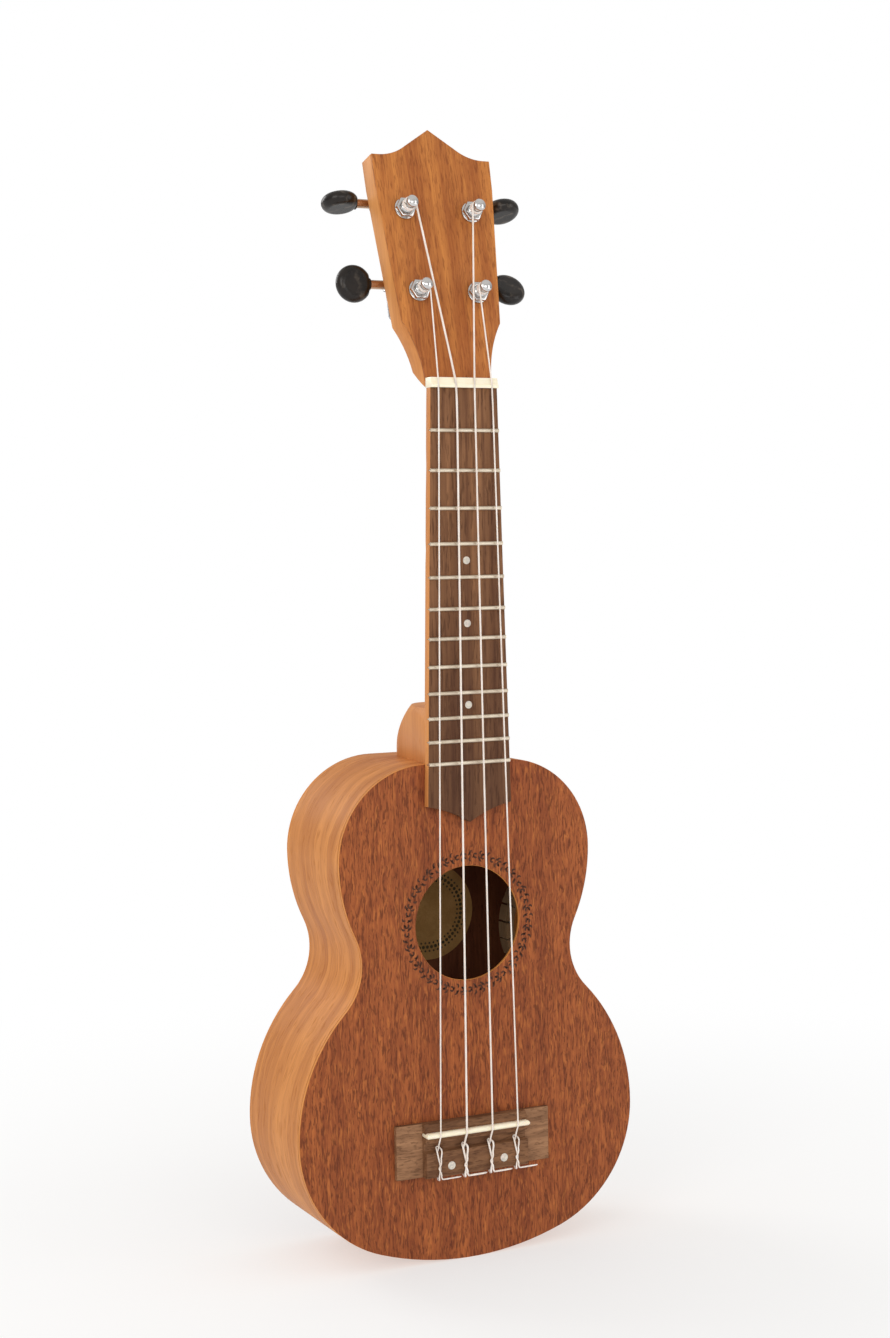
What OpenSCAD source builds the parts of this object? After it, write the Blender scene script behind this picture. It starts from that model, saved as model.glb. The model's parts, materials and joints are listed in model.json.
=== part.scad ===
// Soprano ukulele standing upright: +Z runs up the neck and the strings face -Y.
// The origin is the middle of the nut's lower edge, on the plane of the soundboard's face.

/* [Scale and strings] */
// Open string length from the nut to the saddle
scale_len = 345; // [340:1:350]
// Number of frets on the fretboard
fret_count = 12; // [10:1:12]
// Space between the outer strings at the nut
nut_spread = 27.3; // [26:0.1:28]
// Space between the outer strings at the saddle
saddle_spread = 40.6; // [38:0.1:42]
// Height of the strings' underside over the soundboard plane at the nut
nut_string_h = 5.4; // [5.3:0.05:5.6]
// Height of the strings' underside over the soundboard plane at the saddle
saddle_string_h = 8.7; // [8.5:0.05:9]

/* [Soundbox] */
// Length of the soundbox from the neck joint to the tail
body_len = 236.2; // [235:0.1:238]
// Depth of the soundbox over its two plates
body_d = 64; // [60:0.5:68]
// Half width of the upper bout
upper_half = 65.2; // [64:0.1:66]
// Half width of the lower bout
lower_half = 87.4; // [86:0.1:89]
// Radius of the rounded shoulders
shoulder_r = 44; // [43:0.5:45]
// Radius of the hollow waist arcs
waist_r = 30; // [28:0.5:32]
// Thickness of the soundboard and of the back
plate_t = 2; // [1.6:0.1:2.4]
// Thickness of the bent ribs
rib_t = 2; // [1.6:0.1:2.2]
// Radius of the soundhole
hole_r = 27; // [25:0.5:28]
// Width of the kerfed linings
lining_w = 4.6; // [4:0.2:5]
// Depth of the kerfed linings
lining_h = 8; // [6:0.5:10]

/* [Neck] */
// Width of the fretboard at the nut
nut_w = 34; // [33:0.5:35]
// Width of the fretboard at the twelfth fret
joint_w = 42.2; // [41:0.2:43]
// Thickness of the fretboard
board_t = 4; // [3.8:0.1:4.2]
// Depth of the neck behind the fretboard at the nut
neck_d_nut = 12.5; // [12:0.1:13]
// Depth of the neck behind the fretboard at the soundbox
neck_d_joint = 15.2; // [14.8:0.1:16]
// Depth of the heel below the soundboard plane
heel_d = 56; // [54:0.5:58]

/* [Headstock] */
// Backward tilt of the headstock
head_tilt = 13.9; // [13:0.1:15]
// Whole thickness of the headstock, with its face veneer
head_t = 11; // [10.8:0.1:11.2]
// Thickness of the face veneer
veneer_t = 1.2; // [1:0.1:1.4]
// Distance of the lower tuner posts from the centre line
low_post_x = 15.1; // [14.8:0.1:15.4]
// Distance of the upper tuner posts from the centre line
high_post_x = 17.2; // [17:0.1:17.5]
// Distance of the lower posts up the face from the nut
low_post_s = 46.3; // [45:0.1:47]
// Distance of the upper posts up the face from the nut
high_post_s = 85.7; // [85:0.1:87]

/* [Tuners] */
// Teeth of the post's gear: turns of the knob for one turn of the post
gear_teeth = 14; // [14:1:14]
// Radius of the post where it runs in its bushing
post_r = 2.8; // [2.7:0.05:2.8]
// Radius of the knob's shaft
shaft_r = 2.1; // [2:0.05:2.1]
// Largest radius of the oval knob
knob_r = 8.7; // [8:0.1:9]
// Thickness of the oval knob
knob_t = 6.6; // [6:0.1:7]
// Turns of string on each post
wraps = 2; // [1:0.25:2]

/* [Hidden] */
$fn = 96;

// Colours
mahogany = [0.66, 0.34, 0.19];
pale_wood = [0.84, 0.60, 0.38];
walnut = [0.42, 0.28, 0.19];
spruce = [0.88, 0.76, 0.55];
bone = [0.96, 0.92, 0.80];
chrome = [0.80, 0.81, 0.83];
nylon = [0.95, 0.94, 0.92];

// A small amount by which cutters pass through what they cut, and the reach of a cutter past the part
eps = 0.5;
big = 300;

// Heights of the soundbox
joint_z = -scale_len / 2;
tail_z = joint_z - body_len;
upper_z = joint_z - shoulder_r;
tail_drop = 64.7;
lower_z = tail_z + tail_drop;
hole_z = joint_z - 75.9;

// Centres and radii of the outline's arcs, right-hand side
shoulder_x = upper_half - shoulder_r;
upper_r = 80;
upper_c = [upper_half - upper_r, upper_z];
lower_r = 85;
lower_c = [lower_half - lower_r, lower_z];
corner_r = 60;
corner_c = [lower_half - corner_r, lower_z];
tail_r = (corner_c[0] * corner_c[0] + tail_drop * tail_drop - corner_r * corner_r)
    / (2 * (tail_drop - corner_r));
tail_c = [0, tail_z + tail_r];
waist_c = crossing(upper_c, upper_r + waist_r, lower_c, lower_r + waist_r);

// Blocks, linings and braces
block_w = 56;
block_len = 18;
tail_block_w = 50;
tail_block_len = 13;
notch_half = 9;
notch_depth = 41;
kerf_w = 1;
kerf_pitch = 8;
lining_web = 1.2;
brace_w = 7;
brace_h = 10;
brace_end_h = 3;
brace_taper = 16;
brace_clear = 0.6;
hole_to_brace = 9;
back_brace_upper_z = joint_z - 34;
back_brace_lower_z = lower_z + 20;
patch_w = 72;
patch_over = 5;
patch_t = 1.8;
label_w = 66;
label_h = 48;
label_t = 0.3;
label_z = joint_z - 80.5;

// Bridge and saddle
saddle_z = -scale_len - 0.5;
saddle_t = 2.6;
saddle_w = 54;
saddle_crest_r = saddle_t / 2;
saddle_foot_h = 2.9;
saddle_gap = 0.03;
bridge_top_z = saddle_z + 5.1;
bridge_len = 25.4;
bridge_bottom_z = bridge_top_z - bridge_len;
bridge_w = 80;
wing_h = 2.4;
bridge_block_w = 53.4;
shelf_h = 6.2;
lip_h = 4.4;
channel_h = 3.8;
channel_top_z = saddle_z - 3.7;
channel_bottom_z = saddle_z - 7.6;
tie_h = 7;
tie_hole_r = 0.8;
tie_in_h = 5.15;
tie_out_h = 4.7;
bolt_x = 13.8;
bolt_z = bridge_bottom_z + 5;
bolt_r = 1.25;
bolt_head_r = 1.95;
bolt_head_h = 6;
bolt_seat_h = 4.2;
bolt_tail = 2.6;
bolt_nut_r = 2.9;
bolt_nut_t = 2;
dot_t = 1;

// Fretboard, frets and nut
board_tip_z = joint_z - 27.8;
board_corner_z = joint_z - 19.6;
board_slope = (joint_w - nut_w) / scale_len;
fret_crown = 1;
tang_w = 0.5;
tang_d = 1.4;
tang_gap = 0.2;
fret_inset = 0.1;
fret_bevel = 30;
board_sweep_r = 60;
marker_frets = [5, 7, 10];
marker_r = 1.75;
marker_t = 1.2;
nut_t = 4.6;
nut_seat = 1.2;
nut_h = 5.75;
nut_rest_z = 1.4;

// Neck behind the fretboard: overrun of its shaft past the nut, heel, and flare into the headstock
shaft_over = 14;
heel_h = 25.5;
heel_ball_y = 8;
heel_ball_half = 24;
heel_ball_h = 37;
heel_keel_r = 15;
heel_inset = 0.4;
flare_low = -6;
flare_len = 60;
flare_full_z = 40;

// Headstock outline, measured up the face from the nut
throat_s = 2;
throat_r = 58.4;
bulge_half = 25.3;
bulge_s = 32;
top_half = 30.5;
top_s = 112;
tip_s = 125.6;
ogee_r = 23;
ogee_x = 27;
ogee_end = [13.2, 116.6];

// Dowels between the heel and the neck block
dowel_r = 4;
dowel_len = 36;
dowel_gap = 0.5;
dowel_ys = [9, 34];

// Tuner, measured from its post's axis: x outwards, h forwards of the face, s up the face
gear_pitch_r = 5.25;
gear_face = 4;
gear_tip_r = 5.75;
gear_root_r = 4.5;
gear_seat_r = 2.1;
tooth_gap_root = 0.45;
tooth_gap_tip = 1.03;
worm_pitch_r = 3;
worm_root_r = 2.38;
worm_tip_r = 3.5;
worm_lead = 2 * PI * gear_pitch_r / gear_teeth;
worm_len = 9.6;
worm_steps = 14;
worm_h = -15.8;
worm_s = gear_pitch_r + worm_pitch_r;
lead_angle = atan(worm_lead / (2 * PI * worm_pitch_r));
running = 0.06;
journal_r = 1.5;
journal_end = -6.5;
shaft_end = 17;
spigot_r = 1.7;
spigot_end = 24;
housing_half = 6.6;
housing_round_r = 2.2;
housing_low = -7.2;
housing_high = 12.9;
housing_back = -20;
housing_wall = 1.2;
pocket_r = 6.2;
pocket_half = 5.4;
pocket_s = 3.9;
cover_t = 1.2;
sleeve_r = 4.2;
sleeve_bore_r = 3.55;
sleeve_front = -3.2;
head_hole_r = 4.3;
collar_end = 9;
ear_s = -9.6;
ear_half = 2.6;
ear_t = 1.6;
screw_r = 0.9;
screw_len = 6.5;
screw_head_r = 1.9;
screw_head_h = 1.4;
screw_slot = 0.6;
washer_t = 0.9;
washer_r = 5;
hex_h = 3;
hex_flats = 8.6;
bushing_end = -10.5;
post_end = -19;
flange_back = -13.7;
flange_front = -12.4;
flange_r = 3.4;
waist_low = 4;
waist_high = 9;
waist_post_r = 2.15;
post_top = 11.4;
cap_r = 4;
cap_h = 1.6;
string_hole_r = 0.6;
wrap_h = 7.6;
knob_x = 24.9;
knob_inner = 18;
knob_neck_r = 2.9;
knob_turns = [10, 88, 80, -25];

// Strings in order G, C, E, A from -X to +X
string_r = [0.33, 0.48, 0.42, 0.36];
string_at = [-1 / 2, -1 / 6, 1 / 6, 1 / 2];
post_side = [-1, -1, 1, 1];
post_x = [low_post_x, high_post_x, high_post_x, low_post_x];
post_s = [low_post_s, high_post_s, high_post_s, low_post_s];
string_sides = 8;

// Where each string goes behind the saddle, as [side step, height, distance below the saddle]
tie_route = [
    [0, 4.9, 21.2], [0, 5.9, 21.7], [-0.1, 7.2, 21.5], [-0.4, 7.8, 20.8], [-0.55, 7.7, 19.8],
    [0.55, 7.7, 15.6], [-0.55, 7.7, 11.5], [-1.15, 7.7, 8.7], [-1.25, 7.1, 6.9], [-0.9, 5.2, 6.3],
    [0, 4.5, 5.8],
    [0.9, 5.2, 6.3], [1.25, 7.1, 6.9], [1.1, 7.7, 8.7], [0.55, 7.7, 11.5], [0.43, 8.4, 12.4],
    [0, 8.9, 13.5], [-0.43, 8.4, 14.7], [-0.55, 7.7, 15.6], [-0.43, 8.4, 16.5], [0, 8.9, 17.7],
    [0.43, 8.4, 18.8], [0.6, 7.8, 19.8], [1.3, 7.5, 21.1], [2.4, 6.4, 21.5], [7, 6, 21.6],
    [12, 5.8, 21.6]
];

// ---------- Geometry helpers ----------

// Crossing of two circles that lies to the right of the line from a to b
function crossing(a, ra, b, rb) =
    let (d = norm(b - a), u = (b - a) / d, k = (ra * ra - rb * rb + d * d) / (2 * d))
    a + k * u + sqrt(ra * ra - k * k) * [-u[1], u[0]];

function unit(v) = v / norm(v);

function bearing(from, to) = atan2(to[1] - from[1], to[0] - from[0]);

// Height of a fret on the neck
function fret_z(n) = -scale_len * (1 - pow(2, -n / 12));

// Half width of the fretboard at a height
function board_half(z) = nut_w / 2 - board_slope * z;

// A point of the headstock in the part's frame: x, height over the face, distance up the face
function on_head(x, h, s) = [
    x,
    s * sin(head_tilt) - h * cos(head_tilt),
    s * cos(head_tilt) + h * sin(head_tilt)
];

// Plate between two depths y0 < y1 whose outline is drawn as [x, z]
module slab(y0, y1) {
    translate([0, y1, 0]) rotate([90, 0, 0]) linear_extrude(height = y1 - y0) children();
}

// Bar along X, centred, whose section is drawn as [y, z]
module bar_x(length) {
    rotate([90, 0, 90]) linear_extrude(height = length, center = true) children();
}

// Round pin along Y from y0 to y1
module pin_y(y0, y1, r) {
    translate([0, y0, 0]) rotate([-90, 0, 0]) cylinder(h = y1 - y0, r = r);
}

// Round pin along X from x0 to x1
module pin_x(x0, x1, r, r2) {
    translate([x0, 0, 0]) rotate([0, 90, 0]) cylinder(h = x1 - x0, r1 = r, r2 = is_undef(r2) ? r : r2);
}

// Round rod between two points
module rod(a, b, r) {
    d = b - a;
    translate(a) rotate([0, acos(d[2] / norm(d)), atan2(d[1], d[0])]) cylinder(h = norm(d), r = r, $fn = 24);
}

// Direction of a path at its point i
function heading(path, i) = unit(
    (i == 0 ? [0, 0, 0] : unit(path[i] - path[i - 1]))
    + (i == len(path) - 1 ? [0, 0, 0] : unit(path[i + 1] - path[i]))
);

// Side vectors of a path, each turned on from the one before so that the cord isn't twisted
function turned(v, t) = unit(v - (v * t) * t);
function frames(path) = [
    for (i = 0, v = turned([1, 0.1, 0.2], heading(path, 0)); i < len(path);
        i = i + 1, v = i < len(path) ? turned(v, heading(path, i)) : v) v
];

// Round cord of radius r along a path
module cord(path, r) {
    n = len(path);
    side = frames(path);
    rings = [
        for (i = [0 : n - 1], k = [0 : string_sides - 1])
        let (t = heading(path, i), u = side[i], w = cross(t, u), a = 360 * k / string_sides)
        path[i] + r * (cos(a) * u + sin(a) * w)
    ];
    walls = [
        for (i = [0 : n - 2], k = [0 : string_sides - 1])
        let (a = i * string_sides + k, b = i * string_sides + (k + 1) % string_sides)
        [a, a + string_sides, b + string_sides, b]
    ];
    ends = [
        [for (k = [0 : string_sides - 1]) k],
        [for (k = [string_sides - 1 : -1 : 0]) (n - 1) * string_sides + k]
    ];
    polyhedron(points = rings, faces = concat(walls, ends), convexity = 10);
}

// ---------- Soundbox outline ----------

module band(z0, z1) {
    translate([-big / 2, z0]) square([big, z1 - z0]);
}

// Disc whose sides are an arc about c on the right and its mirror image on the left
module bout(c, r) {
    if (c[0] < 0)
        intersection() {
            translate(c) circle(r = r);
            translate([-c[0], c[1]]) circle(r = r);
        }
    else
        for (s = [-1, 1]) translate([s * c[0], c[1]]) circle(r = r);
}

// Height at which a bout's arc about c runs into the waist's arc, to a hundredth
function arc_end(c, r) = round(100 * (c + r * unit(waist_c - c))[1]) / 100;

// Front outline of the soundbox, drawn i inside the outer face of the ribs
module body_outline(i = 0) {
    upper_end = arc_end(upper_c, upper_r - i);
    lower_end = arc_end(lower_c, lower_r - i);
    intersection() {
        union() {
            for (s = [-1, 1]) translate([s * shoulder_x, upper_z]) circle(r = shoulder_r - i);
            translate([-shoulder_x, upper_z]) square([2 * shoulder_x, shoulder_r - i]);
        }
        band(upper_z, joint_z + eps);
    }
    intersection() {
        bout(upper_c, upper_r - i);
        band(upper_end, upper_z);
    }
    difference() {
        translate([-waist_c[0], lower_end]) square([2 * waist_c[0], upper_end - lower_end]);
        for (s = [-1, 1]) translate([s * waist_c[0], waist_c[1]]) circle(r = waist_r + i);
    }
    intersection() {
        bout(lower_c, lower_r - i);
        band(lower_z, lower_end);
    }
    intersection() {
        union() {
            for (s = [-1, 1]) translate([s * corner_c[0], corner_c[1]]) circle(r = corner_r - i);
            tail_sector(i);
        }
        band(tail_z - eps, lower_z);
    }
}

// Part of the tail's large circle between the two corner arcs
module tail_sector(i) {
    reach = 2 * unit(corner_c - tail_c) * tail_r;
    intersection() {
        translate(tail_c) circle(r = tail_r - i, $fn = 180);
        polygon([tail_c, tail_c + reach, tail_c + [0, -2 * tail_r], tail_c + [-reach[0], reach[1]]]);
    }
}

module half_plane(side) {
    translate([side > 0 ? 0 : -big / 2, tail_z - big / 4]) square([big / 2, big * 1.2]);
}

module neck_block_area(grow = 0) {
    translate([-block_w / 2 - grow, joint_z - rib_t - block_len - grow])
        square([block_w + 2 * grow, block_len + rib_t + eps + grow]);
}

module tail_block_area(grow = 0) {
    translate([-tail_block_w / 2 - grow, tail_z - eps])
        square([tail_block_w + 2 * grow, tail_block_len + rib_t + eps + grow]);
}

// Saw cuts square to one arc of the outline, between two angles, from radius r0 to r1
module arc_kerfs(c, r0, r1, a0, a1) {
    r = (r0 + r1) / 2;
    count = floor(abs(a1 - a0) * PI / 180 * r / kerf_pitch);
    if (count > 0)
        for (k = [0.5 : count])
            translate(c) rotate(a0 + (a1 - a0) * k / count)
                translate([r0, -kerf_w / 2]) square([r1 - r0, kerf_w]);
}

// All saw cuts of the right-hand linings
module kerfs() {
    near = rib_t + lining_web;
    far = rib_t + lining_w + eps;
    arc_kerfs([shoulder_x, upper_z], shoulder_r - far, shoulder_r - near, 90, 0);
    arc_kerfs(upper_c, upper_r - far, upper_r - near, 0, bearing(upper_c, waist_c));
    arc_kerfs(waist_c, waist_r + near, waist_r + far,
        bearing(waist_c, upper_c), 360 + bearing(waist_c, lower_c));
    arc_kerfs(lower_c, lower_r - far, lower_r - near, bearing(lower_c, waist_c), 0);
    arc_kerfs(corner_c, corner_r - far, corner_r - near, 0, bearing(tail_c, corner_c));
    arc_kerfs(tail_c, tail_r - far, tail_r - near, bearing(tail_c, corner_c), -90);
}

// Kerfed strip glued in the corner between a rib and a plate
module lining(side, y0) {
    color(spruce) slab(y0, y0 + lining_h) difference() {
        intersection() {
            difference() {
                body_outline(rib_t);
                body_outline(rib_t + lining_w);
            }
            half_plane(side);
        }
        mirror([side > 0 ? 0 : 1, 0]) kerfs();
        neck_block_area(0.2);
        tail_block_area(0.2);
    }
}

// Bent side of the soundbox, notched under the heel so that the dowels reach the neck block
module rib(side) {
    color(pale_wood) difference() {
        slab(plate_t, body_d - plate_t) intersection() {
            difference() {
                body_outline();
                body_outline(rib_t);
            }
            half_plane(side);
        }
        translate([-notch_half, 0, upper_z]) cube([2 * notch_half, notch_depth, shoulder_r + eps]);
    }
}

// Bar across a plate, thinned at its ends; y1 is the glued side
module brace(half, y1, rise, z) {
    up = rise > 0 ? 1 : -1;
    color(spruce) translate([0, 0, z - brace_w / 2]) linear_extrude(height = brace_w) polygon([
        [-half, y1], [-half, y1 + up * brace_end_h], [-half + brace_taper, y1 + rise],
        [half - brace_taper, y1 + rise], [half, y1 + up * brace_end_h], [half, y1]
    ]);
}

// Half width of the space between the linings at a height, for the shoulders and the lower bout
function shoulder_room(z) =
    shoulder_x + sqrt(pow(shoulder_r - rib_t - lining_w, 2) - pow(z - upper_z, 2)) - brace_clear;
function lower_room(z) =
    lower_c[0] + sqrt(pow(lower_r - rib_t - lining_w, 2) - pow(z - lower_z, 2)) - brace_clear;

// ---------- Soundbox pieces ----------

module bolt_holes(y0, y1, r) {
    for (s = [-1, 1]) translate([s * bolt_x, 0, bolt_z]) pin_y(y0, y1, r);
}

module soundboard() {
    color(mahogany) difference() {
        slab(0, plate_t) body_outline();
        translate([0, 0, hole_z]) pin_y(-eps, plate_t + eps, hole_r);
        bolt_holes(-eps, plate_t + eps, bolt_r + running);
    }
}

module back() {
    color(mahogany) slab(body_d - plate_t, body_d) body_outline();
}

module rib_bass() rib(-1);

module rib_treble() rib(1);

module neck_block() {
    color(pale_wood) difference() {
        slab(plate_t, body_d - plate_t) intersection() {
            body_outline(rib_t);
            neck_block_area();
        }
        dowel_holes();
    }
}

module tail_block() {
    color(pale_wood) slab(plate_t, body_d - plate_t) intersection() {
        body_outline(rib_t);
        tail_block_area();
    }
}

module top_lining_bass() lining(-1, plate_t);

module top_lining_treble() lining(1, plate_t);

module back_lining_bass() lining(-1, body_d - plate_t - lining_h);

module back_lining_treble() lining(1, body_d - plate_t - lining_h);

module soundboard_brace_upper() {
    z = hole_z + hole_r + hole_to_brace;
    brace(shoulder_room(z + brace_w / 2), plate_t, brace_h, z);
}

module soundboard_brace_lower() {
    z = hole_z - hole_r - hole_to_brace;
    brace(lower_room(z + brace_w / 2), plate_t, brace_h, z);
}

module bridge_patch() {
    color(spruce) difference() {
        translate([-patch_w / 2, plate_t, bridge_bottom_z - patch_over])
            cube([patch_w, patch_t, bridge_len + 2 * patch_over]);
        bolt_holes(0, plate_t + patch_t + eps, bolt_r + running);
    }
}

module back_brace_upper() {
    brace(shoulder_room(back_brace_upper_z + brace_w / 2), body_d - plate_t, -brace_h, back_brace_upper_z);
}

module back_brace_lower() {
    brace(lower_room(back_brace_lower_z + brace_w / 2), body_d - plate_t, -brace_h, back_brace_lower_z);
}

// Paper label with round ends, glued inside the back
module label() {
    reach = (label_w - label_h) / 2;
    color([0.74, 0.70, 0.50]) slab(body_d - plate_t - label_t, body_d - plate_t) {
        translate([-reach, label_z - label_h / 2]) square([2 * reach, label_h]);
        for (s = [-1, 1]) translate([s * reach, label_z]) circle(r = label_h / 2);
    }
}

// ---------- Bridge ----------

// Section of the bridge's middle: lip, saddle shelf, channel and tie block
module bridge_section() {
    polygon([
        [0, bridge_top_z], [-lip_h, bridge_top_z], [-shelf_h, saddle_z + 2.4],
        [-shelf_h, channel_top_z], [-channel_h, channel_top_z - 0.7],
        [-channel_h, channel_bottom_z], [-tie_h, channel_bottom_z - 0.6],
        [-tie_h, bridge_bottom_z + 0.8], [-tie_h + 0.8, bridge_bottom_z], [0, bridge_bottom_z]
    ]);
}

function saddle_x(i) = saddle_spread * string_at[i];

module bridge() {
    color(walnut) difference() {
        union() {
            translate([-bridge_w / 2, -wing_h, bridge_bottom_z]) cube([bridge_w, wing_h, bridge_len]);
            bar_x(bridge_block_w) bridge_section();
        }
        saddle_slot();
        for (i = [0 : 3]) tie_hole(saddle_x(i));
        bolt_holes(-tie_h - eps, eps, bolt_r + running);
        bolt_holes(-tie_h - eps, -bolt_seat_h, bolt_head_r + running);
    }
}

// Slot with round ends for the saddle
module saddle_slot() {
    slab(-tie_h, -saddle_foot_h) saddle_plan();
}

module saddle_plan() {
    reach = saddle_w / 2 - saddle_crest_r;
    translate([-reach, saddle_z - saddle_crest_r]) square([2 * reach, saddle_t]);
    for (s = [-1, 1]) translate([s * reach, saddle_z]) circle(r = saddle_crest_r);
}

module tie_hole(x) {
    rod([x, -tie_in_h, channel_bottom_z + 1.5], [x, -tie_out_h, bridge_bottom_z - 1.5], tie_hole_r);
}

module saddle() {
    crest_h = saddle_string_h - saddle_crest_r - saddle_gap;
    color(bone) intersection() {
        slab(-saddle_string_h, -saddle_foot_h) saddle_plan();
        union() {
            translate([-saddle_w / 2, -crest_h, saddle_z - saddle_crest_r])
                cube([saddle_w, crest_h, saddle_t]);
            translate([0, -crest_h, saddle_z]) pin_x(-saddle_w / 2, saddle_w / 2, saddle_crest_r);
        }
    }
}

module bridge_bolts() {
    color(chrome) {
        bolt_holes(-bolt_head_h, -bolt_seat_h, bolt_head_r);
        bolt_holes(-bolt_seat_h, plate_t + patch_t + bolt_tail, bolt_r);
    }
}

module bridge_nuts() {
    color(chrome) for (s = [-1, 1]) translate([s * bolt_x, 0, bolt_z]) difference() {
        translate([0, plate_t + patch_t, 0]) rotate([-90, 0, 0])
            cylinder(h = bolt_nut_t, r = bolt_nut_r, $fn = 6);
        pin_y(0, plate_t + patch_t + bolt_nut_t + eps, bolt_r);
    }
}

module bridge_dots() {
    color(bone) bolt_holes(-bolt_head_h - dot_t, -bolt_head_h, bolt_head_r);
}

// ---------- Neck ----------

// Face outline of the headstock, drawn as [x, distance up the face]
module head_outline(start) {
    difference() {
        polygon([
            [-nut_w / 2, start], [nut_w / 2, start], [nut_w / 2, throat_s], [bulge_half, bulge_s],
            [top_half - 0.3, top_s - 14], [top_half, top_s], [ogee_x, top_s], ogee_end, [0, tip_s],
            [-ogee_end[0], ogee_end[1]], [-ogee_x, top_s], [-top_half, top_s],
            [-top_half + 0.3, top_s - 14], [-bulge_half, bulge_s], [-nut_w / 2, throat_s]
        ]);
        for (s = [-1, 1]) {
            translate([s * (nut_w / 2 + throat_r), throat_s]) circle(r = throat_r, $fn = 180);
            translate([s * ogee_x, top_s + ogee_r]) circle(r = ogee_r);
        }
    }
}

module tilted() {
    rotate([-head_tilt, 0, 0]) children();
}

// Places a tuner's pieces, drawn about its post with x outwards, at tuner i
module at_tuner(i) {
    tilted() mirror([post_side[i] > 0 ? 0 : 1, 0, 0]) translate([post_x[i], 0, post_s[i]]) children();
}

module post_holes() {
    for (i = [0 : 3]) at_tuner(i) pin_y(-eps - 1, head_t + eps, head_hole_r);
}

module dowel_holes() {
    for (y = dowel_ys) translate([0, y, joint_z - dowel_len / 2]) cylinder(h = dowel_len, r = dowel_r);
}

// Radius of the round neck section whose chord lies on the fretboard
function section_r(half, depth) = (half * half + depth * depth) / (2 * depth);

// Tapered round shaft of the neck, its flat side on the soundboard plane
module neck_shaft() {
    r0 = section_r(nut_w / 2, neck_d_nut);
    r1 = section_r(joint_w / 2, neck_d_joint);
    c0 = neck_d_nut - r0;
    c1 = neck_d_joint - r1;
    lean = atan((c0 - c1) / -joint_z);
    translate([0, c1, joint_z]) rotate([-lean, 0, 0])
        cylinder(h = -joint_z + shaft_over, r1 = r1, r2 = r0 + (r0 - r1) * shaft_over / -joint_z);
}

// Cone that rounds the headstock's back edges into the neck just above the nut
module throat_flare() {
    r0 = section_r(nut_w / 2, neck_d_nut);
    translate([0, neck_d_nut - r0, flare_low])
        cylinder(h = flare_len, r1 = r0 + flare_low, r2 = r0 + flare_low + flare_len);
    translate([-big / 2, -big / 2, flare_full_z]) cube([big, big, top_s]);
}

// Heel: narrows to a round keel at the back, and its top is rounded like an egg and cut off flat
module heel() {
    front = joint_w / 2 - heel_inset;
    keel_x = heel_keel_r * cos(10);
    keel_y = heel_d - heel_keel_r;
    intersection() {
        translate([0, heel_ball_y, joint_z])
            scale([heel_ball_half, heel_d - heel_ball_y, heel_ball_h]) sphere(r = 1);
        translate([0, 0, joint_z]) linear_extrude(height = heel_h) union() {
            polygon([[-front, 0], [front, 0], [keel_x, keel_y], [-keel_x, keel_y]]);
            translate([0, keel_y]) circle(r = heel_keel_r);
        }
    }
}

module neck() {
    color(pale_wood) difference() {
        union() {
            neck_shaft();
            heel();
            intersection() {
                tilted() slab(veneer_t, head_t) head_outline(1);
                throat_flare();
            }
        }
        translate([-big / 2, -big, joint_z - 1]) cube([big, big, big]);
        translate([-big / 2, -big / 2, joint_z - big]) cube([big, big, big]);
        tilted() translate([-big / 2, veneer_t - big, 0]) cube([big, big, big]);
        translate([-big / 2, -big + nut_seat, 0]) cube([big, big, nut_t]);
        post_holes();
        dowel_holes();
        for (i = [0 : 3]) at_tuner(i)
            translate([0, 0, ear_s]) pin_y(head_t - screw_len + ear_t, head_t + eps, screw_r + 0.02);
    }
}

module neck_dowels() {
    color(pale_wood) for (y = dowel_ys)
        translate([0, y, joint_z - dowel_len / 2 + dowel_gap])
            cylinder(h = dowel_len - 2 * dowel_gap, r = dowel_r - 0.02);
}

module headstock_veneer() {
    color([0.72, 0.42, 0.22]) difference() {
        tilted() slab(0, veneer_t) head_outline(0);
        translate([-big / 2, -big / 2, nut_t - big]) cube([big, big, big]);
        post_holes();
    }
}

// Lower end of the fretboard: hollow sweeps that meet in a point
module board_plan() {
    half = board_half(board_corner_z);
    corner = [half, board_corner_z];
    tip = [0, board_tip_z];
    dip = crossing(corner, board_sweep_r, tip, board_sweep_r);
    difference() {
        polygon([
            [-nut_w / 2, 0], [nut_w / 2, 0], corner, tip, [-corner[0], corner[1]]
        ]);
        for (s = [-1, 1]) translate([s * dip[0], dip[1]]) circle(r = board_sweep_r, $fn = 180);
    }
}

module fretboard() {
    color(walnut) difference() {
        slab(-board_t, 0) board_plan();
        for (n = [1 : fret_count])
            translate([-joint_w, -board_t - eps, fret_z(n) - tang_w / 2 - 0.01])
                cube([2 * joint_w, tang_d + tang_gap + eps, tang_w + 0.02]);
        markers(0.01, eps);
    }
}

// Pearl dots between frets
module markers(grow, proud) {
    for (n = marker_frets)
        translate([0, 0, (fret_z(n) + fret_z(n - 1)) / 2])
            pin_y(-board_t - proud, -board_t + marker_t, marker_r + grow);
}

module fret_markers() {
    color(bone) markers(0, 0);
}

// One fret: half-round crown on the board with its tang in the slot
module fret(n) {
    half = board_half(fret_z(n)) - fret_inset;
    translate([0, 0, fret_z(n)]) difference() {
        union() {
            intersection() {
                translate([0, -board_t, 0]) pin_x(-half, half, fret_crown, $fn = 32);
                translate([-half, -board_t - fret_crown, -fret_crown])
                    cube([2 * half, fret_crown, 2 * fret_crown]);
            }
            translate([-half, -board_t - fret_crown / 2, -tang_w / 2])
                cube([2 * half, tang_d + fret_crown / 2, tang_w]);
        }
        for (s = [-1, 1]) translate([s * half, -board_t, 0]) rotate([0, 0, s * fret_bevel])
            translate([s > 0 ? 0 : -board_t, -board_t, -board_t / 2]) cube(board_t);
    }
}

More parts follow.
